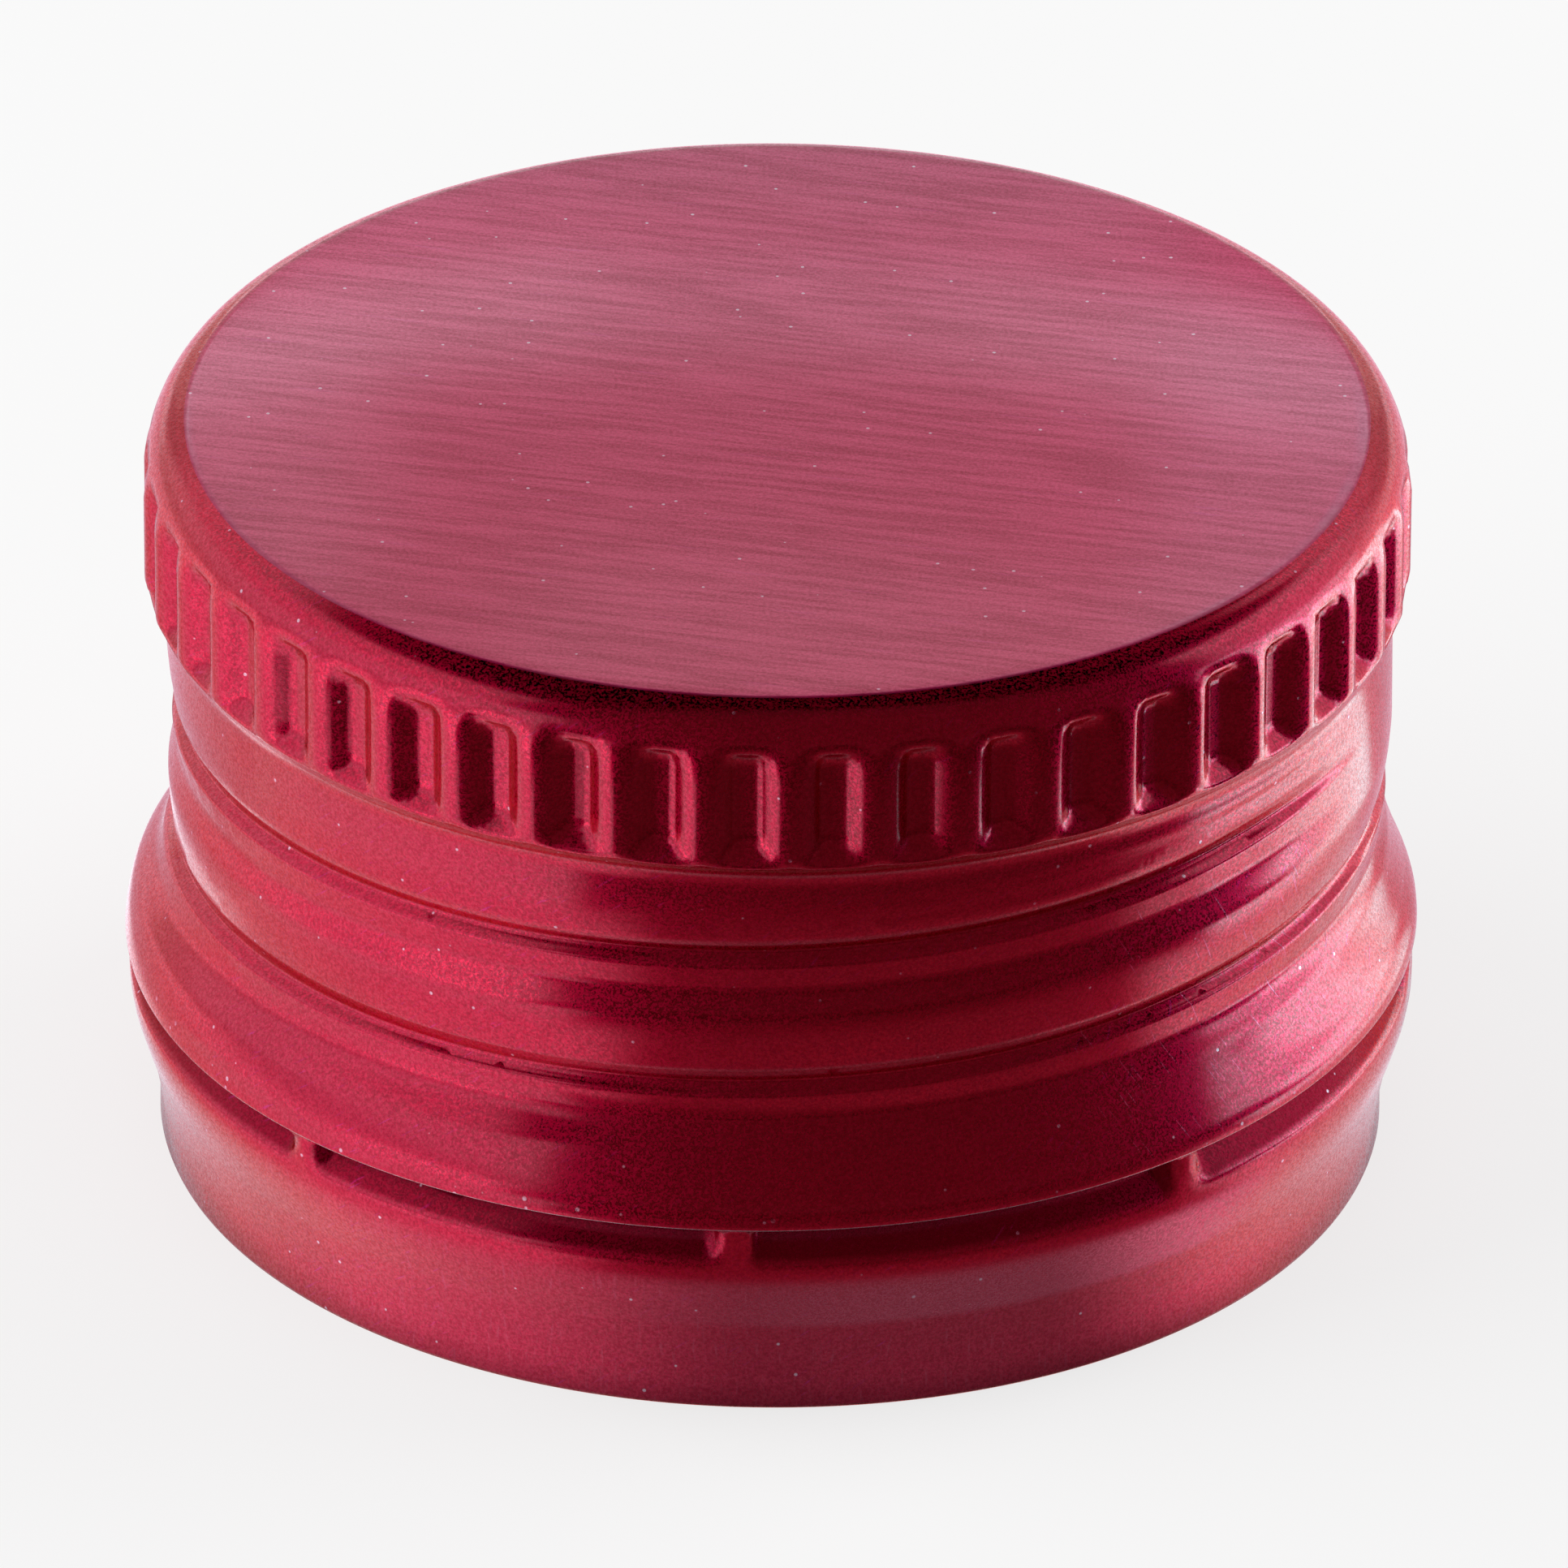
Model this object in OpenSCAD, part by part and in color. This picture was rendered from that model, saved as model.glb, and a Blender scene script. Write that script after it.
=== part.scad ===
// Roll-on screw cap of drawn sheet aluminium for a 28 mm bottle neck.
// The shell is one thin drawn cup: flat top, rounded shoulder, knurled grip,
// rolled right-hand thread, flared skirt and a tamper band on small bridges.
// A separate sealing disc is pressed up under the top.
// The frame stands on the rim: Z = 0 is the open edge, the axis is Z,
// and the side at -Y is the front.

/* [Shell] */
// Height from the rim to the flat top
cap_height = 17.3; // [17:0.1:18]
// Thickness of the sheet
wall = 0.23; // [0.2:0.01:0.24]
// Diameter of the flat top, out to its crisp edge
top_d = 26.1; // [25.6:0.1:26.4]
// Radius of the rounded shoulder
shoulder_r = 1.6; // [1.4:0.1:1.8]

/* [Knurled grip] */
// Diameter over the ribs
knurl_d = 28.1; // [28:0.05:28.2]
// Number of pressed flutes
flute_count = 46; // [40:1:46]
// Depth of a flute
flute_depth = 0.38; // [0.3:0.02:0.4]
// Radius of the rounded flute section
flute_r = 0.74; // [0.7:0.01:0.74]
// Height of the middle of the rounded lower ends
flute_low = 14.3; // [14.2:0.05:14.6]
// Height of the middle of the rounded upper ends
flute_high = 15.85; // [15.6:0.05:15.9]
// Direction of one flute's middle, counted from the front
flute_phase = -2.2; // [-4:0.1:4]

/* [Rolled thread] */
// Diameter over the thread crests and the neck under the grip
crest_d = 27.16; // [27:0.02:27.3]
// Rise of the groove in one turn
pitch = 3.2; // [3.1:0.05:3.3]
// Depth of the rolled groove
groove_depth = 0.32; // [0.2:0.02:0.36]
// Height of the upper groove at the front
groove_front = 11.55; // [11.4:0.05:11.7]
// Turn angle at which the groove starts under the grip
groove_start = 72; // [60:1:90]
// Turn angle at which the groove has run out on the skirt
groove_end = -630; // [-660:5:-560]

/* [Skirt and tamper band] */
// Height at which the skirt begins to flare
flare_top = 7.6; // [7.4:0.1:7.8]
// Largest diameter, at the skirt's cut edge
skirt_d = 28.82; // [28.7:0.02:28.9]
// Height of the skirt's cut edge
slit_top = 4.75; // [4.7:0.05:4.8]
// Height of the slit between the skirt and the band
slit_h = 0.35; // [0.3:0.05:0.4]
// Number of bridges that hold the band
bridge_count = 8; // [6:1:8]
// Angle from one bridge to the next
bridge_step = 42.6; // [40:0.1:45]
// Width of a bridge
bridge_w = 1; // [0.8:0.1:1.4]
// Diameter of the tamper band
band_d = 28.66; // [28.5:0.02:28.7]
// Diameter of the band's tucked lower edge
rim_d = 27.34; // [27.2:0.02:27.5]
// Height of the straight wall above the rim
rim_h = 0.9; // [0.8:0.1:1.1]

/* [Sealing disc] */
// Diameter of the disc
disc_d = 26.6; // [26.2:0.1:26.6]
// Thickness of the disc
disc_h = 2; // [1.6:0.1:2.2]
// Inner diameter of the dent left by the bottle's lip
dent_in_d = 19.8; // [19:0.2:20.4]
// Outer diameter of the dent left by the bottle's lip
dent_out_d = 24.8; // [24:0.2:25]
// Depth of that dent
dent_h = 0.3; // [0.2:0.05:0.4]

/* [Hidden] */

// Radii and heights that follow from the sizes above
top_r = top_d / 2;
knurl_r = knurl_d / 2;
crest_r = crest_d / 2;
skirt_r = skirt_d / 2;
band_r = band_d / 2;
rim_r = rim_d / 2;
slit_low = slit_top - slit_h;
shoulder_x = knurl_r - shoulder_r;
shoulder_end = acos((top_r - shoulder_x) / shoulder_r);
shoulder_z = cap_height - shoulder_r * sin(shoulder_end);

// The lip under the grip: a convex bend that runs into a concave one
lip_r = 0.6;
neck_fillet = 0.9;
lip_z = flute_low - 0.35;
lip_bend = 45;
lip_x = knurl_r - lip_r * (1 - cos(lip_bend));
neck_x = crest_r + neck_fillet * (1 - cos(lip_bend));
neck_z = lip_z - (lip_r + neck_fillet) * sin(lip_bend) - (lip_x - neck_x);

// The rolled zone is a fine mesh whose thinner ends are sunk in the walls
// above and below it
rolled_top = neck_z - 0.06;
rolled_low = 5.3;
sink = 0.25;
inset = 0.04;
columns = 72;
bands = 30;
fade_top = 25;
fade_low = 90;
soft = 0.2;

// Steps of the short arcs in the sections
arc_steps = 6;
curl_r = 0.11;
curl_h = 0.4;
band_full_z = 3.7;
fine = 180;

// A smooth step from 0 to 1
function ease(t) = let (u = min(1, max(0, t))) u * u * (3 - 2 * u);

// Points of an arc in the section
function arc(x, z, r, from, to) =
    [for (i = [0:arc_steps]) let (a = from + (to - from) * i / arc_steps) [x + r * cos(a), z + r * sin(a)]];

// Outer radius of the smooth skirt at a height
function skirt_at(z) = crest_r + (skirt_r - crest_r) * ease((flare_top - z) / (flare_top - slit_top));

// Outer radius of the tamper band at a height, with its curled-in upper edge
function band_at(z) =
    rim_r + (band_r - rim_r) * ease((z - rim_h) / (band_full_z - rim_h))
    - curl_r * pow(max(0, (z - slit_low + curl_h) / curl_h), 2);

// Turns from the groove that passes the front at groove_front
function turns_at(a, z) = (z - groove_front) / pitch - a / 360;

// How deep the roller pressed at a turn angle
function press_at(turn) =
    ease((groove_start - turn) / fade_top) * ease((turn - groove_end) / fade_low);

// Section of the groove: a narrow valley between broad rounded crests
function valley(t) = pow(1 - sin(180 * sqrt(t * t + soft * soft) / pitch), 2.5);

// Outer radius of the rolled zone; a is counted from the front
function rolled_at(a, z) =
    let (
        n = round(turns_at(a, z)),
        t = (turns_at(a, z) - n) * pitch,
        ends = ease((rolled_top - z) / 0.3)
    )
    skirt_at(z) - groove_depth * valley(t) / valley(0) * press_at(a + 360 * n) * ends;

// Heights of the mesh rows, from the sunk lower end to the sunk upper end
rolled_z = concat(
    [rolled_low - sink, rolled_low],
    [for (i = [0:bands]) rolled_low + 0.15 + (rolled_top - rolled_low - 0.3) * i / bands],
    [rolled_top, rolled_top + sink]
);
rows = len(rolled_z);

// The two lowest and the two highest rows are the thinner, sunk ends
function row_inset(i) = (i < 2 || i > rows - 3) ? inset : 0;

// One closed ring of points at a row, set in from the outer surface
function ring_points(i, depth) = [
    for (k = [0:columns - 1])
        let (a = 360 * k / columns, r = rolled_at(a, rolled_z[i]) - depth)
        [r * cos(a - 90), r * sin(a - 90), rolled_z[i]]
];

// Two triangles between neighbouring points of two rings
function quad(a, b, c, d) = [[a, b, c], [a, c, d]];

// Triangles between two rings, given by the number of each ring's first point
function ring_faces(low, high) = [
    for (k = [0:columns - 1])
        let (n = (k + 1) % columns)
        for (face = quad(low + k, high + k, high + n, low + n)) face
];

module rolled_zone() {
    outer = [for (i = [0:rows - 1]) for (p = ring_points(i, row_inset(i))) p];
    inner = [for (i = [0:rows - 1]) for (p = ring_points(i, wall - row_inset(i))) p];
    inside = rows * columns;
    last = (rows - 1) * columns;
    outer_faces = [for (i = [0:rows - 2]) for (f = ring_faces(i * columns, (i + 1) * columns)) f];
    inner_faces = [
        for (i = [0:rows - 2])
            for (f = ring_faces(inside + (i + 1) * columns, inside + i * columns)) f
    ];
    polyhedron(
        points = concat(outer, inner),
        faces = concat(outer_faces, inner_faces, ring_faces(inside, 0), ring_faces(last, inside + last))
    );
}

// Section of the top, shoulder, grip, lip and neck, inset by a depth
function upper_section(depth) = concat(
    [[0, cap_height - depth]],
    arc(shoulder_x, shoulder_z, shoulder_r - depth, shoulder_end, 0),
    arc(knurl_r - lip_r, lip_z, lip_r - depth, 0, -lip_bend),
    arc(crest_r + neck_fillet, neck_z, neck_fillet + depth, 180 - lip_bend, 180),
    [[crest_r - depth, rolled_top]]
);

// A flute, or the bump that it makes inside when the radius is larger
module flute(r) {
    rotate_extrude($fn = 32)
        polygon(concat(
            [for (i = [0:3]) [r * cos(-90 + 30 * i), flute_low + r * sin(-90 + 30 * i)]],
            [for (i = [0:3]) [r * cos(30 * i), flute_high + r * sin(30 * i)]]
        ));
}

module flutes(r) {
    for (k = [0:flute_count - 1])
        rotate([0, 0, 360 * k / flute_count + flute_phase - 90])
            translate([knurl_r - flute_depth + flute_r, 0, 0])
                flute(r);
}

// Flat top, shoulder and knurled grip, with the sheet pressed in at each flute
module upper_shell() {
    difference() {
        rotate_extrude($fn = fine)
            polygon(concat(upper_section(0), [[0, rolled_top]]));
        flutes(flute_r);
        difference() {
            rotate_extrude($fn = fine)
                polygon(concat(upper_section(wall), [[crest_r - wall, rolled_top - 1], [0, rolled_top - 1]]));
            flutes(flute_r + wall);
        }
    }
}

// Smooth end of the skirt above the slit
module skirt_edge() {
    heights = [for (i = [0:4]) slit_top + (rolled_low - slit_top) * i / 4];
    rotate_extrude($fn = fine)
        polygon(concat(
            [for (z = heights) [skirt_at(z), z]],
            [for (i = [4:-1:0]) [skirt_at(heights[i]) - wall, heights[i]]]
        ));
}

// Tamper band under the slit, tucked in at the bottom
module tamper_band() {
    steps = 14;
    tuck = [for (i = [0:steps]) rim_h + (slit_low - rim_h) * i / steps];
    rotate_extrude($fn = fine)
        polygon(concat(
            [[rim_r, 0]],
            [for (z = tuck) [band_at(z), z]],
            [for (i = [steps:-1:0]) [band_at(tuck[i]) - wall, tuck[i]]],
            [[rim_r - wall, 0]]
        ));
}

// One uncut bridge of sheet between the band and the skirt
module bridge() {
    angle = bridge_w / skirt_r * 180 / PI;
    reach = 0.12;
    low = slit_low - reach;
    high = slit_top + reach;
    rotate([0, 0, -angle / 2])
        rotate_extrude(angle = angle, $fn = fine)
            polygon([
                [band_at(low) - wall + inset, low],
                [band_at(slit_low) - inset, low],
                [skirt_at(high) - inset, high],
                [skirt_at(high) - wall + inset, high]
            ]);
}

module bridges() {
    first = -3 - 3 * bridge_step;
    for (k = [0:bridge_count - 1])
        rotate([0, 0, first + k * bridge_step - 90])
            bridge();
}

// The whole drawn shell
module shell() {
    color([0.66, 0.07, 0.19])
        union() {
            upper_shell();
            rolled_zone();
            skirt_edge();
            bridges();
            tamper_band();
        }
}

// Sealing disc with the ring that the bottle's lip has pressed into it
module sealing_disc() {
    disc_r = disc_d / 2;
    top = cap_height - wall;
    low = top - disc_h;
    slope = 0.35;
    color([0.93, 0.92, 0.87])
        rotate_extrude($fn = fine)
            polygon([
                [0, low],
                [dent_in_d / 2 - slope, low],
                [dent_in_d / 2, low + dent_h],
                [dent_out_d / 2, low + dent_h],
                [dent_out_d / 2 + slope, low],
                [disc_r, low],
                [disc_r, top - 0.35],
                [disc_r - 0.4, top],
                [0, top]
            ]);
}

shell();
sealing_disc();
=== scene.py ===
import math

import bpy
import numpy as np
from mathutils import Euler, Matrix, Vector


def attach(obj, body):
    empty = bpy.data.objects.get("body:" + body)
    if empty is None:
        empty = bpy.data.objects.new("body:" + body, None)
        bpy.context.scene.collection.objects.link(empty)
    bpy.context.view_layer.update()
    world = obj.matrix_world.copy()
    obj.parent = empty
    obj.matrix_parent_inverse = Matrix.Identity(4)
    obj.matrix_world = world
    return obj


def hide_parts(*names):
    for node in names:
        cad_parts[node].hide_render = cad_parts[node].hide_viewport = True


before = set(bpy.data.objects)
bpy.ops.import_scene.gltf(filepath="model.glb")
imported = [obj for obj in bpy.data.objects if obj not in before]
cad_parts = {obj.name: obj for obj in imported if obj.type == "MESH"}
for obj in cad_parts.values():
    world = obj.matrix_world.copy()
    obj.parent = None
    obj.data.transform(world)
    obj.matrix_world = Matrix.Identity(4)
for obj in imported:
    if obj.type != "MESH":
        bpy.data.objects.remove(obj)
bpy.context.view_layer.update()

MM = 0.001
bpy.ops.object.select_all(action="DESELECT")

# Sizes of the cap in millimetres, the same as in the part's source
CAP_HEIGHT = 17.3
WALL = 0.23
TOP_R = 13.08
SHOULDER_R = 1.6
KNURL_R = 14.05
FLUTE_COUNT = 46
FLUTE_LOW = 14.3
FLUTE_PHASE = -2.5
CREST_R = 13.58
PITCH = 3.2
GROOVE_FRONT = 11.17
GROOVE_START = 72
GROOVE_END = -630
FLARE_TOP = 7.6
SKIRT_R = 14.41
SLIT_TOP = 4.75
BAND_TOP = 4.69
BAND_R = 14.33
RIM_R = 13.67
BRIDGE_COUNT = 8
BRIDGE_STEP = 42.6
BRIDGE_FRONT = -3
BRIDGE_W = 0.9
LIP_R = 0.6
NECK_FILLET = 0.9
LIP_BEND = 45

SHOULDER_X = KNURL_R - SHOULDER_R
SHOULDER_END = math.degrees(math.acos((TOP_R - SHOULDER_X) / SHOULDER_R))
SHOULDER_Z = CAP_HEIGHT - SHOULDER_R * math.sin(math.radians(SHOULDER_END))
LIP_Z = FLUTE_LOW - 0.35
BEND_SIN = math.sin(math.radians(LIP_BEND))
LIP_X = KNURL_R - LIP_R * (1 - BEND_SIN)
NECK_X = CREST_R + NECK_FILLET * (1 - BEND_SIN)
NECK_Z = LIP_Z - (LIP_R + NECK_FILLET) * BEND_SIN - (LIP_X - NECK_X)

# How finely the sheet is divided, and its pressed detail
COLUMNS_A_FLUTE = 12
COLUMNS = FLUTE_COUNT * COLUMNS_A_FLUTE
ROLLED_TOP = 12.8
ROLLED_LOW = 5.3
FLUTE_DEPTH = 0.46
FLUTE_HALF = 0.68
FLUTE_WALL = 0.43
FLUTE_ENDS = (13.55, 16.42)
# One pitch of the rolled thread: height over the groove's bottom, and depth
THREAD_HEIGHTS = (-1.6, -1.45, -0.88, -0.8, -0.24, -0.18, -0.02, 0.02, 0.42, 0.9, 0.95, 1.5, 1.6)
THREAD_DEPTHS = (0, 0.01, 0.165, 0.16, 0.075, 0.09, 0.32, 0.32, 0.12, 0.065, 0.05, 0, 0)


# ---------- shape ----------
def ease(t):
    u = np.clip(t, 0, 1)
    return u * u * (3 - 2 * u)


def skirt_at(z):
    return CREST_R + (SKIRT_R - CREST_R) * ease((FLARE_TOP - z) / (FLARE_TOP - SLIT_TOP))


def band_at(z):
    """Outer radius of the tamper band where a bridge holds it out."""
    heights = (0, 0.85, 1.3, 2.05, 2.25, 2.8, 3.3, 3.6, 4.0, 4.4, BAND_TOP)
    radii = (RIM_R, 13.66, 13.72, 13.87, 13.93, 14.12, 14.27, 14.32, BAND_R, 14.35, 14.37)
    return np.interp(z, heights, radii)


def tuck_at(z):
    """How far the band's upper edge is pushed in between two bridges."""
    bend = np.maximum(0, z - 3.86)
    return np.where(bend < 0.2, bend ** 2 / 0.4, bend - 0.1)


def arc(x, z, r, start, end, steps):
    angles = [math.radians(start + (end - start) * i / steps) for i in range(steps + 1)]
    return [(x + r * math.cos(a), z + r * math.sin(a)) for a in angles]


def steps_between(high, low, count):
    return [high + (low - high) * i / count for i in range(count + 1)]


def rolled_heights():
    """Heights of the rows in the rolled zone, close together on the groove's sharp lower side."""
    heights = []
    z = ROLLED_TOP
    while z > ROLLED_LOW:
        heights.append(z)
        off = (z - GROOVE_FRONT + PITCH / 2) % PITCH - PITCH / 2
        z -= 0.06 if -0.42 < off < 0.08 else 0.125
    return heights + [ROLLED_LOW]


def cap_section():
    """Outer section of the cap, from the middle of the top down to the rim."""
    flat = [(r, CAP_HEIGHT) for r in (0, 3, 6, 9, 11, 12.2)]
    edge = [(12.6, CAP_HEIGHT), (12.95, CAP_HEIGHT - 0.003), (TOP_R, CAP_HEIGHT - 0.01)]
    shoulder = [(13.1, 17.275), (13.2, 17.24), (13.32, 17.19), (13.44, 17.12), (13.55, 17.03), (13.65, 16.92)]
    shoulder += [(13.74, 16.79), (13.82, 16.64), (13.89, 16.47), (13.95, 16.28), (13.99, 16.08)]
    shoulder += [(KNURL_R, SHOULDER_Z)]
    grip = [(KNURL_R, z) for z in steps_between(SHOULDER_Z, LIP_Z, 12)[1:-1]]
    lip = arc(KNURL_R - LIP_R, LIP_Z, LIP_R, 0, -LIP_BEND, 5)
    neck = arc(CREST_R + NECK_FILLET, NECK_Z, NECK_FILLET, 180 - LIP_BEND, 180, 4)
    rolled = [(float(skirt_at(z)), z) for z in rolled_heights()]
    skirt = [(float(skirt_at(z)), z) for z in (5.15, 5.0, 4.88)] + arc(SKIRT_R - 0.07, 4.82, 0.07, 0, -75, 3)
    heights = [BAND_TOP, 4.6, 4.48, 4.36, 4.24, 4.12, 4.0, 3.9, 3.75, 3.6, 3.45, 3.3, 3.1, 2.9, 2.7, 2.5]
    heights += [2.35, 2.25, 2.15, 2.05, 1.9, 1.6, 1.3, 1.1, 0.85, 0.6, 0.3, 0.08]
    band = [(float(band_at(z)), z) for z in heights] + [(RIM_R - 0.03, 0.0)]
    return flat + edge + shoulder + grip + lip + neck + rolled + skirt + band


def spun_sheet(name, section):
    """A section line, extruded point by point and spun round the axis."""
    bpy.ops.mesh.primitive_plane_add(size=MM, location=(0, 0, 0))
    piece = bpy.context.object
    piece.name = piece.data.name = name
    bpy.ops.object.mode_set(mode="EDIT")
    bpy.ops.mesh.merge(type="CENTER")
    here = Vector((0, 0, 0))
    for number, (r, z) in enumerate(section):
        step = Vector((r * MM, 0, z * MM)) - here
        if number:
            bpy.ops.mesh.extrude_region_move(TRANSFORM_OT_translate={"value": step})
        else:
            bpy.ops.transform.translate(value=step)
        here += step
    bpy.ops.mesh.select_all(action="SELECT")
    bpy.ops.mesh.spin(steps=COLUMNS // 8, angle=math.pi / 4, center=(0, 0, 0), axis=(0, 0, 1))
    for turn in (math.pi / 4, math.pi / 2, math.pi):
        bpy.ops.mesh.select_all(action="SELECT")
        bpy.ops.mesh.duplicate()
        bpy.ops.transform.rotate(value=turn, orient_axis="Z", center_override=(0, 0, 0))
    bpy.ops.mesh.select_all(action="SELECT")
    bpy.ops.mesh.remove_doubles(threshold=MM * 2e-3)
    bpy.ops.mesh.normals_make_consistent(inside=False)
    bpy.ops.object.mode_set(mode="OBJECT")
    return piece


def soft_least(first, second, blend):
    """The smaller of two values, with the corner between them rounded."""
    return (first + second - np.sqrt((first - second) ** 2 + blend ** 2)) / 2


def flute_floor(angle, z):
    """Radius of the pressed flutes alone: long pockets with round ends."""
    period = 360 / FLUTE_COUNT
    off = (angle - FLUTE_PHASE + period / 2) % period - period / 2
    across = np.abs(np.radians(off)) * KNURL_R
    inside = soft_least(FLUTE_HALF - across, (FLUTE_ENDS[1] - z) * 1.3, 0.06)
    inside = soft_least(inside, (z - FLUTE_ENDS[0]) * 1.0, 0.12)
    inside = soft_least(inside / FLUTE_WALL, 1, 0.06)
    return KNURL_R - FLUTE_DEPTH * (inside + np.sqrt(inside ** 2 + 0.4 ** 2)) / 2


def rolled_press(angle, z):
    """Depth that the thread roller has pressed in, at an angle and a height."""
    turns = (z - GROOVE_FRONT) / PITCH - angle / 360
    whole = np.round(turns)
    off = (turns - whole) * PITCH
    turn = angle + 360 * whole
    press = ease((GROOVE_START - turn) / 25) * ease((turn - GROOVE_END) / 90)
    blur = 0.12 * ease((np.abs(angle) - 60) / 60)
    depth = sum(np.interp(off + part * blur, THREAD_HEIGHTS, THREAD_DEPTHS) for part in (-1, -0.5, 0, 0.5, 1)) / 5
    return depth * press * ease((ROLLED_TOP - z) / 0.3)


def follow_thread(angle, z):
    """Slants the rows of the mesh in front, so that they run along the groove."""
    slant = np.interp(angle, (-180, -60, 60, 180), (0, -60, 60, 0)) * PITCH / 360
    return z + slant * ease((ROLLED_TOP - z) / 1.3) * ease((z - ROLLED_LOW) / 1.3)


def press_sheet(piece):
    """Presses flutes and thread into the spun sheet."""
    mesh = piece.data
    co = np.zeros(len(mesh.vertices) * 3)
    mesh.vertices.foreach_get("co", co)
    co = co.reshape(-1, 3) / MM
    z = co[:, 2].copy()
    r = np.hypot(co[:, 0], co[:, 1])
    column = 360 / COLUMNS
    angle = np.degrees(np.arctan2(co[:, 0], -co[:, 1]))
    number = np.round((angle - 90) / column)
    angle = FLUTE_PHASE + number * column
    angle = angle - 0.4 * column * COLUMNS_A_FLUTE / (2 * np.pi) * np.sin(2 * np.pi * number / COLUMNS_A_FLUTE)
    angle = (angle + 180) % 360 - 180
    floor_r = flute_floor(angle, z)
    k = 0.05
    gap = r - floor_r
    fluted = r - (gap + np.sqrt(gap ** 2 + k * k)) / 2
    grip = (z > 13.2) & (r > TOP_R - 0.01)
    r = np.where(grip, fluted, r)
    rolled = (z <= ROLLED_TOP) & (z > SLIT_TOP)
    slanted = np.where(rolled & (z > ROLLED_LOW), follow_thread(angle, z), z)
    r = np.where(rolled, r + skirt_at(slanted) - skirt_at(z), r)
    z = slanted
    r = np.where(rolled, r - rolled_press(angle, z), r)
    off = np.min([np.abs((angle - b + 180) % 360 - 180) for b in bridge_angles()], axis=0)
    between = ease((np.radians(off) * SKIRT_R - BRIDGE_W / 2 + 0.12) / 0.2)
    r = np.where(z <= BAND_TOP, r - tuck_at(z) * between, r)
    turn = np.radians(angle)
    lean = np.interp(z, (5.4, 7, 9.5, 12, 13.5, CAP_HEIGHT), (0, 0.1, 0.18, 0.15, 0.08, 0.07))
    lift = slit_lift(angle) * np.interp(z, (3.6, 4.5, 5.0, 5.9), (0, 1, 1, 0))
    back = np.interp(z, (5.4, 13, CAP_HEIGHT), (0, 0.05, 0.12))
    out = np.stack([r * np.sin(turn) + lean, back - r * np.cos(turn), z + lift], 1)
    mesh.vertices.foreach_set("co", (out * MM).ravel())
    mesh.update()


def slit_lift(angle):
    """How much higher than drawn the slit lies at an angle: the cut is a little askew."""
    return 0.07 + 0.2 * np.sin(np.radians(angle) + 0.2)


def bridge_angles():
    return [BRIDGE_FRONT + (k - 3) * BRIDGE_STEP for k in range(BRIDGE_COUNT)]


def cut_slit(piece):
    """Cuts the slit above the tamper band and leaves the bridges."""
    half = math.degrees(BRIDGE_W / 2 / SKIRT_R)
    bpy.ops.object.mode_set(mode="EDIT")
    bpy.ops.mesh.select_mode(type="FACE")
    bpy.ops.mesh.select_all(action="DESELECT")
    bpy.ops.object.mode_set(mode="OBJECT")
    for face in piece.data.polygons:
        x, y, z = face.center / MM
        angle = math.degrees(math.atan2(x, -y))
        near = min(abs((angle - b + 180) % 360 - 180) for b in bridge_angles())
        height = z - slit_lift(angle)
        face.select = BAND_TOP < height < SLIT_TOP and near > half
    bpy.ops.object.mode_set(mode="EDIT")
    bpy.ops.mesh.delete(type="FACE")
    bpy.ops.object.mode_set(mode="OBJECT")


def thicken(piece):
    """Gives the sheet its thickness inwards and thins out the hidden inside."""
    inside = piece.vertex_groups.new(name="inside")
    wall = piece.modifiers.new("wall", "SOLIDIFY")
    wall.thickness = WALL * MM
    wall.offset = -1
    wall.shell_vertex_group = inside.name
    wall.material_offset = 2
    wall.material_offset_rim = 3
    bpy.ops.object.modifier_apply(modifier=wall.name)
    thin = piece.modifiers.new("thin", "DECIMATE")
    thin.vertex_group = inside.name
    thin.ratio = 0.595
    bpy.ops.object.modifier_apply(modifier=thin.name)


# ---------- finishes ----------
class Value:
    """A socket of a finish. Sums and products of it add Math nodes."""

    def __init__(self, finish, socket):
        self.finish = finish
        self.socket = socket

    def joined(self, operation, first, second):
        return self.finish.add("ShaderNodeMath", {"operation": operation}, [first, second])

    def __add__(self, other):
        return self.joined("ADD", self, other)

    def __sub__(self, other):
        return self.joined("SUBTRACT", self, other)

    def __rsub__(self, other):
        return self.joined("SUBTRACT", other, self)

    def __mul__(self, other):
        return self.joined("MULTIPLY", self, other)

    def __truediv__(self, other):
        return self.joined("DIVIDE", self, other)

    def __pow__(self, other):
        return self.joined("POWER", self, other)

    __radd__ = __add__
    __rmul__ = __mul__


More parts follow.
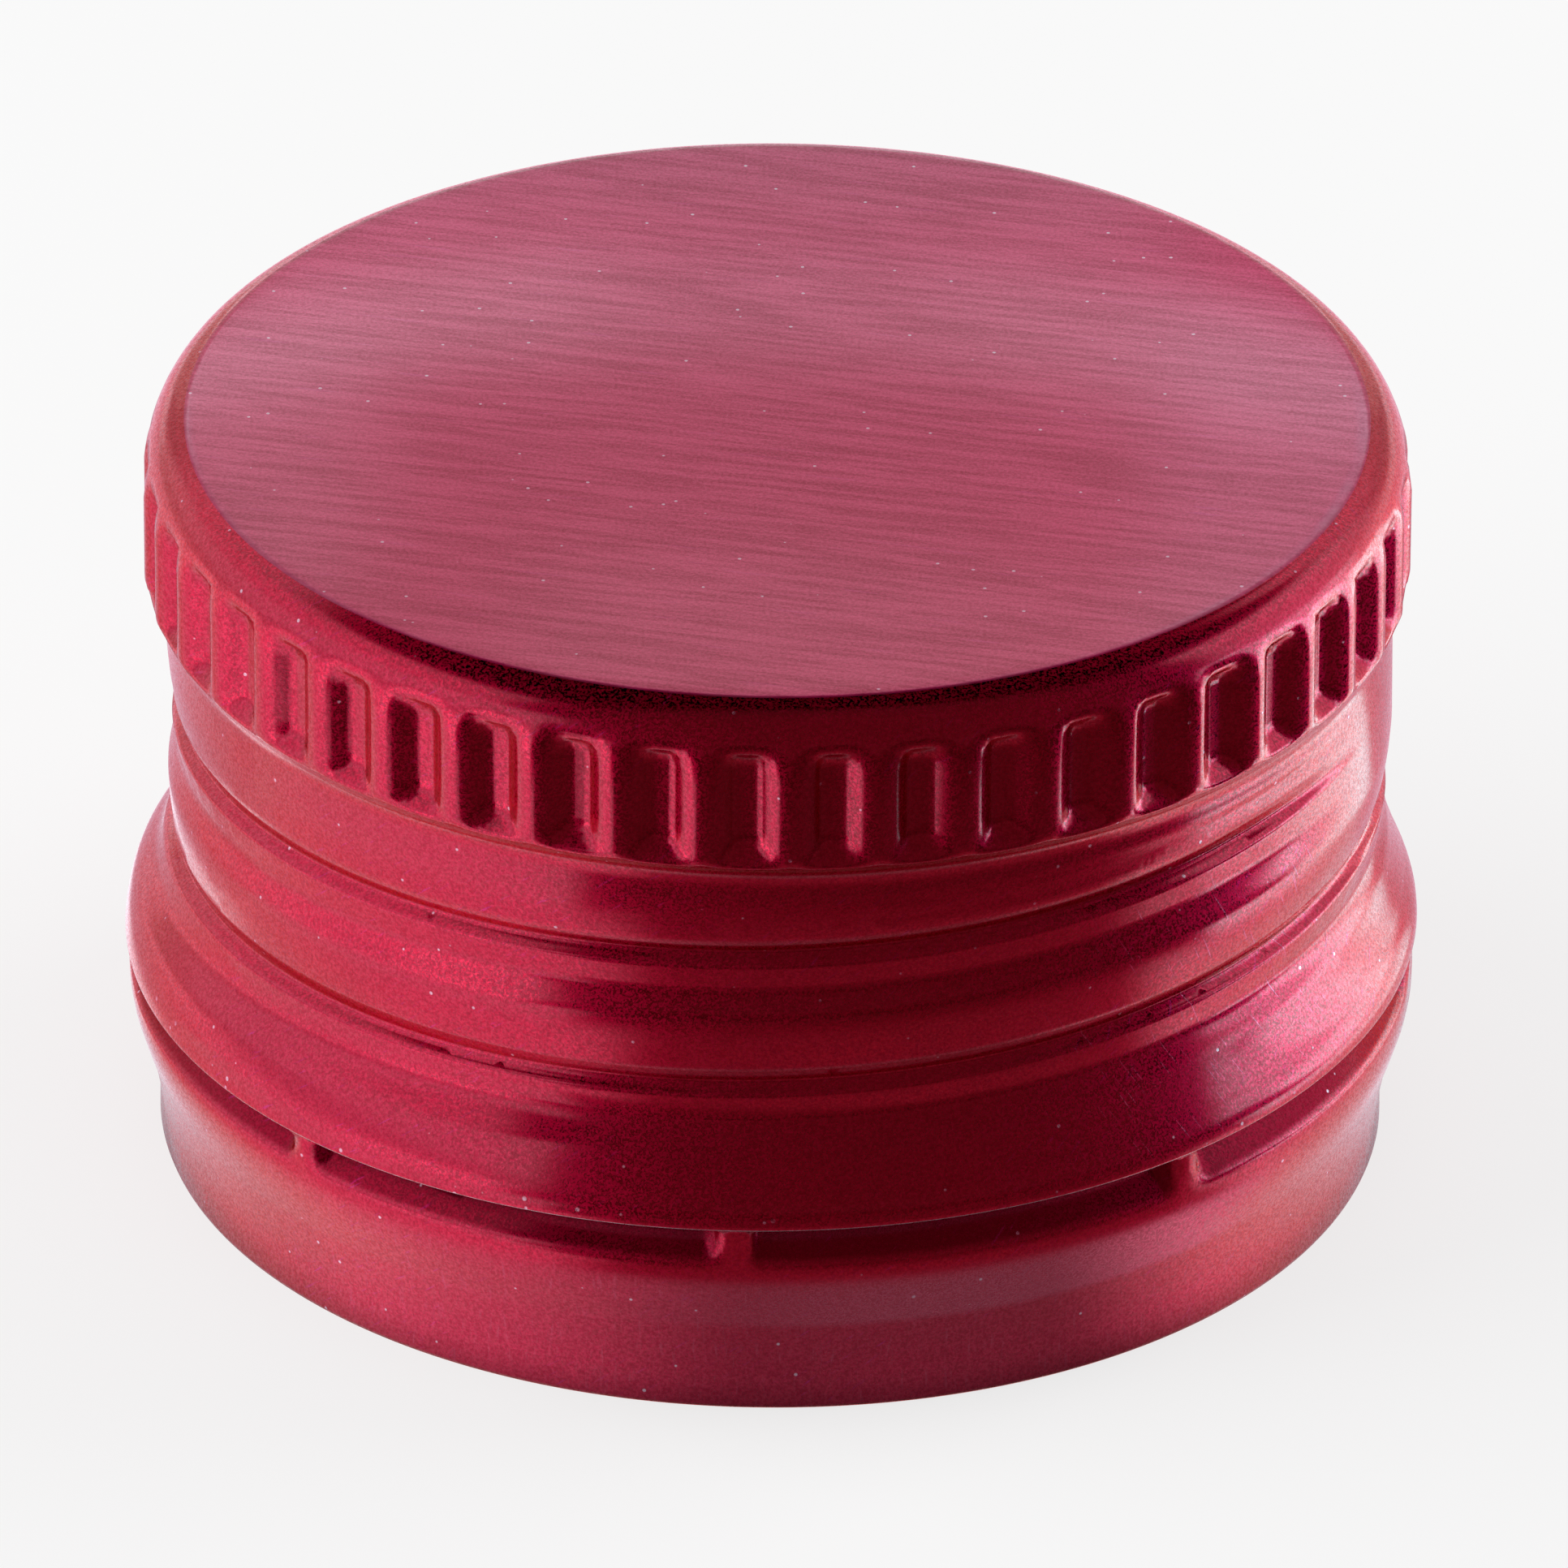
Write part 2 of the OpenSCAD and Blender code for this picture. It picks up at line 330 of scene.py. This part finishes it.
class Finish:
    """A material built from nodes."""

    def __init__(self, name):
        self.material = bpy.data.materials.new(name)
        self.material.use_nodes = True
        self.tree = self.material.node_tree
        self.tree.nodes.clear()

    def add(self, kind, settings=None, inputs=None, output=0):
        """Adds a node, with its settings and then the values or links of its sockets."""
        node = self.tree.nodes.new(kind)
        for key, value in (settings or {}).items():
            if key == "stops":
                self.set_stops(node, value)
            else:
                setattr(node, key, value)
        pairs = inputs.items() if isinstance(inputs, dict) else enumerate(inputs or [])
        for key, value in pairs:
            if isinstance(value, Value):
                self.tree.links.new(value.socket, node.inputs[key])
            else:
                node.inputs[key].default_value = value
        return Value(self, node.outputs[output]) if node.outputs else None

    def set_stops(self, node, stops):
        ramp = node.color_ramp
        while len(ramp.elements) < len(stops):
            ramp.elements.new(0.5)
        for element, (place, colour) in zip(ramp.elements, stops):
            element.position = place
            element.color = colour

    def place(self, scale=(1, 1, 1), turn=(0, 0, 0)):
        """Object coordinates in millimetres, turned and then stretched."""
        where = self.add("ShaderNodeTexCoord", output=3)
        where = self.add("ShaderNodeMapping", None, {"Vector": where, "Rotation": turn, "Scale": (1000, 1000, 1000)})
        return self.stretch(where, scale)

    def stretch(self, where, scale):
        return self.add("ShaderNodeVectorMath", {"operation": "MULTIPLY"}, [where, scale])

    def parts(self, where):
        split = self.add("ShaderNodeSeparateXYZ", None, [where]).socket.node
        return [Value(self, socket) for socket in split.outputs]

    def unrolled(self, scale=(1, 1, 1), turn=0.0):
        """Millimetres round the cap from the front, and the height, turned and stretched."""
        x, y, z = self.parts(self.place())
        round_cap = x.joined("ARCTAN2", x, y * -1) * 13.8
        where = self.add("ShaderNodeCombineXYZ", None, [round_cap, z])
        where = self.add("ShaderNodeMapping", None, {"Vector": where, "Rotation": (0, 0, math.radians(turn))})
        return self.stretch(where, scale)

    def span(self, value, low, high):
        """Nothing at low and one at high, with a soft step between them."""
        return self.add(
            "ShaderNodeMapRange", {"interpolation_type": "SMOOTHSTEP"},
            {"Value": value, "From Min": low, "From Max": high},
        )

    def noise(self, where, scale, detail=2, rough=0.5):
        return self.add(
            "ShaderNodeTexNoise", None,
            {"Vector": where, "Scale": scale, "Detail": detail, "Roughness": rough},
        )

    def mix(self, amount, first, second):
        return self.add(
            "ShaderNodeMix", {"data_type": "RGBA"}, {0: amount, 6: first, 7: second}, output=2
        )

    def ramp(self, value, stops):
        return self.add("ShaderNodeValToRGB", {"stops": stops}, [value])

    def bump(self, height, distance, strength=1, under=None):
        links = {"Height": height, "Distance": distance, "Strength": strength}
        if under:
            links["Normal"] = under
        return self.add("ShaderNodeBump", None, links)

    def surface(self, **values):
        """The main shader and the output."""
        links = {key.replace("_", " "): value for key, value in values.items()}
        shader = self.add("ShaderNodeBsdfPrincipled", None, links)
        self.add("ShaderNodeOutputMaterial", None, [shader])
        return self.material


def lacquered_side():
    finish = Finish("lacquered_side")
    where = finish.place()
    cloud = finish.noise(where, 0.35, 3)
    grain = finish.span(finish.noise(where, 13, 3, 0.75), 0.36, 0.64)
    frost = finish.span(finish.noise(where, 17, 2, 0.7), 0.4, 0.6)
    tone = cloud * 0.4 + grain * 0.6
    colour = finish.mix(tone, (0.45, 0.0, 0.034, 1), (0.78, 0.002, 0.066, 1))

    round_cap, up, _ = finish.parts(finish.unrolled())
    right = finish.span(round_cap, 5.5, 8.5) * finish.span(round_cap, 16, 13)
    worn = right * (finish.span(up, 4.9, 5.5) * finish.span(up, 11.4, 10.6))
    fine = finish.noise(finish.unrolled((0.7, 20, 1), 62), 1, 2)
    scratches = finish.span(fine, 0.64, 0.74) * worn
    rub = finish.noise(finish.unrolled((1.3, 13, 1), -38), 1, 3, 0.6)
    rubbed = finish.span(rub, 0.61, 0.72) * finish.span(finish.noise(where, 0.28, 2), 0.45, 0.6)
    wear = finish.noise(finish.unrolled((9, 1.1, 1)), 1, 3, 0.65)
    wear = finish.span(wear, 0.55, 0.75) * finish.span(up, 3.9, 3.2)
    # Painted highlight: a smooth, lighter pink patch on the band's front, where the band mirrors the bright floor
    band_painted_highlight = finish.span(up, 2.1, 2.35) * finish.span(up, 3.8, 3.4)
    band_painted_highlight = band_painted_highlight * (finish.span(round_cap, -4, 3) * finish.span(round_cap, 14, 9))
    dust = finish.add("ShaderNodeTexVoronoi", None, {"Vector": where, "Scale": 1.4})
    specks = finish.span(dust, 0.07, 0.04)
    chips = finish.add("ShaderNodeTexVoronoi", None, {"Vector": where, "Scale": 2.2})
    chips = finish.span(chips, 0.14, 0.09) * (finish.span(up, 4.6, 4.75) * finish.span(up, 5.25, 5.0))
    specks = specks.joined("MAXIMUM", specks, chips)
    x, y, _ = finish.parts(where)
    # Painted shade: the recess at the band's tucked-in upper edge, between the bridges, is coloured dark red and its
    # coat is thinned, standing in for the shade under the skirt
    tuck_painted_shade = finish.span(((x * x) + (y * y)) ** 0.5, 14.33, 14.2)
    tuck_painted_shade = tuck_painted_shade * (finish.span(up, 3.85, 4.1) * finish.span(up, 5.0, 4.85))
    colour = finish.mix(tuck_painted_shade * 0.75, colour, (0.25, 0.0, 0.02, 1))
    colour = finish.mix(rubbed * 0.5, colour, (0.72, 0.03, 0.3, 1))
    colour = finish.mix(band_painted_highlight * 0.45, colour, (0.75, 0.14, 0.22, 1))
    colour = finish.mix(wear * 0.5, colour, (0.68, 0.08, 0.15, 1))
    colour = finish.mix(scratches * 0.7, colour, (0.85, 0.22, 0.4, 1))
    colour = finish.mix(specks * 0.8, colour, (0.95, 0.7, 0.8, 1))
    peel = finish.bump(grain, 0.0015 * MM)
    return finish.surface(
        Base_Color=colour, Metallic=1.0, Roughness=0.1 + frost * 0.45, Normal=peel,
        Specular_Tint=(0.75, 0.1, 0.2, 1), Coat_Weight=(grain * 0.5 + 0.65) * (1 - tuck_painted_shade * 0.7), Coat_Roughness=0.14,
    )


def brushed_top():
    finish = Finish("brushed_top")
    where = finish.place()
    tilt = (0, 0, math.radians(13))
    grain = finish.span(finish.noise(where, 13, 3, 0.75), 0.36, 0.64)
    brush = finish.noise(finish.place((0.35, 5, 1), tilt), 1, 4, 0.65)
    lines = finish.span(brush, 0.35, 0.65)
    tone = lines * 0.5 + grain * 0.5
    colour = finish.mix(tone, (0.44, 0.0, 0.085, 1), (0.78, 0.014, 0.17, 1))
    dash = finish.noise(finish.place((0.55, 7, 1), tilt), 1, 2)
    dashes = finish.span(dash, 0.66, 0.76)
    dust = finish.add("ShaderNodeTexVoronoi", None, {"Vector": where, "Scale": 1.4})
    specks = finish.span(dust, 0.07, 0.04)
    x, y, _ = finish.parts(where)
    far = ((x * x) + (y * y)) ** 0.5
    # Painted highlight: a light, patchy line along the front half of the top's edge
    highlight_patch = finish.span(finish.noise(where, 0.5, 3, 0.6), 0.4, 0.6)
    rim = finish.span(far, 12.75, 12.95) * (highlight_patch * 0.6 + 0.4) * finish.span(y, 4, -4)
    colour = finish.mix(rim * 0.6, colour, (0.5, 0.13, 0.2, 1))
    colour = finish.mix(dashes * 0.4, colour, (0.7, 0.06, 0.25, 1))
    colour = finish.mix(specks * 0.8, colour, (0.9, 0.65, 0.75, 1))
    return finish.surface(
        Base_Color=colour, Metallic=1.0, Roughness=0.45, Specular_Tint=(0.6, 0.1, 0.2, 1),
        Coat_Weight=grain * 0.3 + lines * 0.25 + 0.68, Coat_Roughness=0.15,
    )


def inner_lacquer():
    finish = Finish("inner_lacquer")
    grain = finish.noise(finish.place(), 9, 3)
    colour = finish.mix(grain, (0.74, 0.73, 0.71, 1), (0.82, 0.81, 0.79, 1))
    return finish.surface(
        Base_Color=colour, Metallic=1.0, Roughness=0.34, Normal=finish.bump(grain, 0.004 * MM)
    )


def bare_edge():
    finish = Finish("bare_edge")
    grain = finish.noise(finish.place(), 12, 3)
    colour = finish.mix(grain, (0.7, 0.5, 0.55, 1), (1.0, 0.95, 0.97, 1))
    return finish.surface(
        Base_Color=colour, Metallic=1.0, Roughness=0.3, Normal=finish.bump(grain, 0.01 * MM)
    )


def foam():
    finish = Finish("foam")
    cells = finish.noise(finish.place(), 5, 4, 0.6)
    colour = finish.mix(cells, (0.86, 0.85, 0.8, 1), (0.92, 0.91, 0.87, 1))
    return finish.surface(Base_Color=colour, Roughness=0.75, Normal=finish.bump(cells, 0.03 * MM))


# ---------- pieces ----------
def build_shell():
    piece = spun_sheet("pressed_shell", cap_section())
    press_sheet(piece)
    cut_slit(piece)
    mesh = piece.data
    for material in (lacquered_side(), brushed_top(), inner_lacquer(), inner_lacquer(), bare_edge()):
        mesh.materials.append(material)
    for face in mesh.polygons:
        x, y, z = face.center / MM
        height = z - slit_lift(math.degrees(math.atan2(x, -y)))
        if z > CAP_HEIGHT - 0.012:
            face.material_index = 1
        elif SLIT_TOP < height < SLIT_TOP + 0.05 and math.hypot(x, y) > SKIRT_R - 0.2:
            face.material_index = 4
    mesh.polygons.foreach_set("use_smooth", [True] * len(mesh.polygons))
    thicken(piece)
    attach(piece, "root")
    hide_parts("shell")
    return piece


def plane(name, size, place, turn=(0, 0, 0)):
    bpy.ops.mesh.primitive_plane_add(size=1, location=place, rotation=turn)
    piece = bpy.context.object
    piece.name = name
    piece.scale = (size[0], size[1], 1)
    bpy.ops.object.transform_apply(location=True, rotation=True, scale=True)
    return piece


def seen_in_reflections_only(piece):
    piece.visible_camera = False
    piece.visible_diffuse = False
    piece.visible_shadow = False
    piece.visible_transmission = False


def floor_paint():
    finish = Finish("floor_paint")
    path = finish.add("ShaderNodeLightPath", output=0)
    glossy = finish.add("ShaderNodeLightPath", output=3)
    through = finish.add("ShaderNodeLightPath", output=6)
    seen = finish.add("ShaderNodeMath", {"operation": "MAXIMUM"}, [path, glossy])
    seen = finish.add("ShaderNodeMath", {"operation": "MAXIMUM"}, [seen, through])
    paint = finish.add("ShaderNodeBsdfDiffuse", None, {"Color": (0.8, 0.8, 0.8, 1)})
    white = finish.add("ShaderNodeEmission", None, {"Strength": 1.0})
    both = finish.add("ShaderNodeMixShader", None, [seen * 0.7, paint, white])
    finish.add("ShaderNodeOutputMaterial", None, [both])
    finish.material.cycles.emission_sampling = "NONE"
    return finish.material


def soft_window(value, start, end, soft):
    """One between start and end, nothing outside, and a soft step at both."""
    return ease((value - start) / soft + 0.5) * ease((end - value) / soft + 0.5)


def soft_turn(angle, start, end, soft):
    """The same, for an angle round the cap."""
    off = np.abs((angle - (start + end) / 2 + 180) % 360 - 180)
    return ease(((end - start) / 2 - off) / soft + 0.5)


def tent_part(name, rows, point, lights, measure, soft):
    """A part of the round light tent, with soft-edged fields of light on it."""
    places, angles = np.meshgrid(rows, np.arange(-180, 180.1, 2.5), indexing="ij")
    glow = np.zeros(places.shape + (4,))
    for _, start, end, low, high, strength, tone, turn_soft in lights:
        across = soft_window(measure(places), measure(low), measure(high), soft)
        field = strength * across * soft_turn(angles, start, end, turn_soft)
        glow[..., :3] += field[..., None] * np.array(tone)
    points = [point(place, angle) for place, angle in zip(places.ravel(), angles.ravel())]
    return glowing_sheet(name, points, places.shape, glow)


def glowing_sheet(name, points, shape, glow):
    """A sheet of rows of points that glows, and that only shiny surfaces show."""
    rows, count = shape
    faces = [
        (k * count + i, k * count + i + 1, (k + 1) * count + i + 1, (k + 1) * count + i)
        for k in range(rows - 1) for i in range(count - 1)
    ]
    mesh = bpy.data.meshes.new(name)
    mesh.from_pydata([tuple(c * MM for c in point) for point in points], [], faces)
    mesh.attributes.new("glow", "FLOAT_COLOR", "POINT").data.foreach_set("color", glow.ravel())
    piece = bpy.data.objects.new(name, mesh)
    bpy.context.scene.collection.objects.link(piece)
    finish = Finish(name)
    colour = finish.add("ShaderNodeAttribute", {"attribute_name": "glow"})
    shine = finish.add("ShaderNodeEmission", None, {"Color": colour})
    finish.add("ShaderNodeOutputMaterial", None, [shine])
    finish.material.cycles.emission_sampling = "NONE"
    mesh.materials.append(finish.material)
    seen_in_reflections_only(piece)
    return piece


def top_card():
    """The card behind the cap that the flat top mirrors, laid out by where on the top it shows."""
    x, y = np.meshgrid(np.arange(-20, 20.1, 0.5), np.arange(-20, 19.1, 0.5))
    bent = y + (x + 1) ** 2 / 50
    glow = np.ones(x.shape + (4,)) * TOP_GLOW
    for _, left, right, low, high, strength, tone in TOP_LIGHTS:
        field = soft_window(x, left, right, 4) * soft_window(bent, low, high, 2.5)
        glow[..., :3] += strength * field[..., None] * np.array(tone)
    points = [(1.045 * a, 20, 28.3 - 0.549 * b) for a, b in zip(x.ravel(), y.ravel())]
    return glowing_sheet("top_card", points, x.shape, glow)


def on_floor(far, angle):
    """A point just above the floor, from its distance to the axis and its angle from the front."""
    turn = math.radians(angle)
    return (far * math.sin(turn), -far * math.cos(turn), 0.02)


def on_wall(height, angle):
    """A point on the tent's wall, from its height in degrees and its angle from the front."""
    turn, rise = math.radians(angle), math.radians(height)
    far = TENT_R * math.cos(rise)
    return (far * math.sin(turn), -far * math.cos(turn), 0.02 + TENT_R * math.sin(rise))


TENT_R = 250
PLAIN = (1, 1, 1.1)
COOL = (1, 1.85, 1.95)
ROSE = (0.96, 0.66, 0.8)
EMBER = (1, 0.25, 0.38)

# Fields of light on the tent: angles from the front, then distances in mm or heights in degrees,
# then how bright, of which tone, and over how many degrees the ends fade
FLOOR_LIGHTS = (
    ("foot_front_left", -34, -14, 13.6, 17.5, 0.69, PLAIN, 26),
    ("foot_front", -14, 42, 13.6, 17.5, 0.24, PLAIN, 26),
    ("foot_right", 42, 100, 13.6, 17.5, 1.00, PLAIN, 26),
    ("foot_back", 100, 240, 13.6, 17.5, 0.70, PLAIN, 26),
    ("foot_left", -120, -34, 13.6, 17.5, 1.00, PLAIN, 26),
    ("near_front", -22, 57, 17.5, 25.5, 0.25, EMBER, 12),
    ("near_right", 57, 112, 17.5, 25.5, 1.02, PLAIN, 12),
    ("near_back", 112, 160, 17.5, 25.5, 0.88, ROSE, 12),
    ("near_back_far", 160, 215, 17.5, 25.5, 1.20, PLAIN, 12),
    ("near_back_left", -145, -95, 17.5, 21, 1.50, PLAIN, 12),
    ("near_back_left_far", -145, -95, 21, 25.5, 0.85, ROSE, 12),
    ("near_left", -95, -22, 17.5, 25.5, 1.00, ROSE, 12),
    ("mid_front", -30, 70, 25.5, 44, 0.12, EMBER, 4),
    ("mid_right", 70, 118, 25.5, 33, 1.70, COOL, 4),
    ("mid_right_far", 90, 118, 33, 44, 1.35, COOL, 4),
    ("mid_back", 118, 215, 25.5, 44, 0.78, ROSE, 4),
    ("mid_back_left", -145, -95, 25.5, 44, 0.94, ROSE, 4),
    ("mid_left", -95, -30, 25.5, 44, 0.91, PLAIN, 4),
    ("far_front", -40, 82, 44, 260, 0.07, EMBER, 4),
    ("far_right", 88, 128, 44, 260, 2.45, COOL, 4),
    ("far_back", 128, 235, 44, 260, 1.18, ROSE, 4),
    ("far_left", -125, -66, 44, 260, 1.25, ROSE, 4),
    ("far_front_left", -66, -40, 44, 260, 1.65, ROSE, 4),
)
WALL_LIGHTS = (
    ("low_front", -38, 80, -5, 10, 0.15, EMBER, 4),
    ("low_right", 80, 118, -5, 10, 1.30, COOL, 4),
    ("low_back", 118, 215, -5, 10, 1.14, PLAIN, 4),
    ("low_left", -145, -38, -5, 10, 0.60, PLAIN, 4),
    ("front", -38, 68, 10, 95, 0.12, EMBER, 4),
    ("right", 80, 135, 10, 28, 0.80, PLAIN, 4),
    ("back", 135, 215, 10, 28, 0.45, PLAIN, 4),
    ("back_left", -145, -95, 10, 28, 0.83, PLAIN, 4),
    ("left", -95, -38, 10, 28, 0.88, PLAIN, 4),
    ("right_high", 80, 135, 28, 40, 0.98, PLAIN, 4),
    ("back_high", 135, 215, 28, 50, 0.90, ROSE, 4),
    ("left_high", -145, -50, 28, 50, 0.92, ROSE, 4),
)


TOP_GLOW = 0.7
TOP_LIGHTS = (
    ("band", -18, 18, 3.6, 9.2, 0.5, (0.6, 1, 1.1)),
    ("band_left", -18, -4, 4.6, 9.4, 0.4, PLAIN),
    ("band_right", 4, 18, 3.6, 8.6, 0.25, PLAIN),
    ("right_rim", 8.5, 18, -11, 9, 0.4, (0.6, 1, 1.2)),
    ("left_rim", -18, -9, -7, 7, 0.35, (0.8, 1, 1.1)),
    ("back", -12, 9, 10, 19, 0.3, (-0.3, 1, 0.8)),
    ("front", -6, 14, -15, -6, 0.25, PLAIN),
)


def lamp(name, place, aim, size, power):
    light = bpy.data.lights.new(name, "AREA")
    light.shape = "RECTANGLE"
    light.size, light.size_y = size
    light.energy = power
    piece = bpy.data.objects.new(name, light)
    bpy.context.scene.collection.objects.link(piece)
    piece.location = Vector(place)
    piece.rotation_euler = (Vector(aim) - Vector(place)).to_track_quat("-Z", "Y").to_euler()
    piece.visible_glossy = False
    return piece


def build_studio():
    floor = plane("floor", (6, 6), (0, 0, 0))
    floor.data.materials.append(floor_paint())
    distances = np.geomspace(13.6, TENT_R, 50)
    tent_part("tent_floor", distances, on_floor, FLOOR_LIGHTS, np.log, 0.12)
    tent_part("tent_wall", np.linspace(0, 90, 46), on_wall, WALL_LIGHTS, np.float64, 4)
    top_card()
    lamp("left_lamp", (-0.22, -0.02, 0.12), (0, 0, 0.01), (0.3, 0.16), 0.55)
    lamp("right_lamp", (0.22, 0.08, 0.12), (0, 0, 0.01), (0.2, 0.16), 0.4)

    world = bpy.data.worlds.new("studio_air")
    bpy.context.scene.world = world
    world.use_nodes = True
    nodes, links = world.node_tree.nodes, world.node_tree.links
    nodes.clear()
    output = nodes.new("ShaderNodeOutputWorld")
    air = nodes.new("ShaderNodeBackground")
    path = nodes.new("ShaderNodeLightPath")
    most = nodes.new("ShaderNodeMath")
    most.operation = "MAXIMUM"
    links.new(path.outputs["Is Camera Ray"], most.inputs[0])
    links.new(path.outputs["Is Glossy Ray"], most.inputs[1])
    span = nodes.new("ShaderNodeMapRange")
    links.new(most.outputs[0], span.inputs["Value"])
    span.inputs["To Min"].default_value = 0.6
    span.inputs["To Max"].default_value = 1.0
    links.new(span.outputs[0], air.inputs["Strength"])
    links.new(air.outputs[0], output.inputs["Surface"])


def build_camera():
    """The photo's camera: a long lens from the front, looking down on the cap."""
    rise = 0.50209
    away = 458.85 * MM
    centre = Vector((0, 0, CAP_HEIGHT / 2 * MM))
    data = bpy.data.cameras.new("camera")
    camera = bpy.data.objects.new("camera", data)
    bpy.context.scene.collection.objects.link(camera)
    bpy.context.scene.camera = camera
    camera.location = centre + Vector((0, -away * math.cos(rise), away * math.sin(rise)))
    look = Euler((math.pi / 2 - rise, 0, 0)).to_matrix()
    roll = Euler((0, 0, 0.00626)).to_matrix()
    camera.rotation_euler = (look @ roll).to_euler()
    data.sensor_width = 36
    data.lens = 473.77
    data.shift_x = 0.00763
    data.shift_y = -0.01505
    data.clip_start = 0.01
    data.clip_end = 20


def finish_disc():
    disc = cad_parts["sealing_disc"]
    disc.data.materials.clear()
    disc.data.materials.append(foam())


build_camera()
build_shell()
finish_disc()
build_studio()
bpy.context.scene.view_settings.view_transform = "Standard"
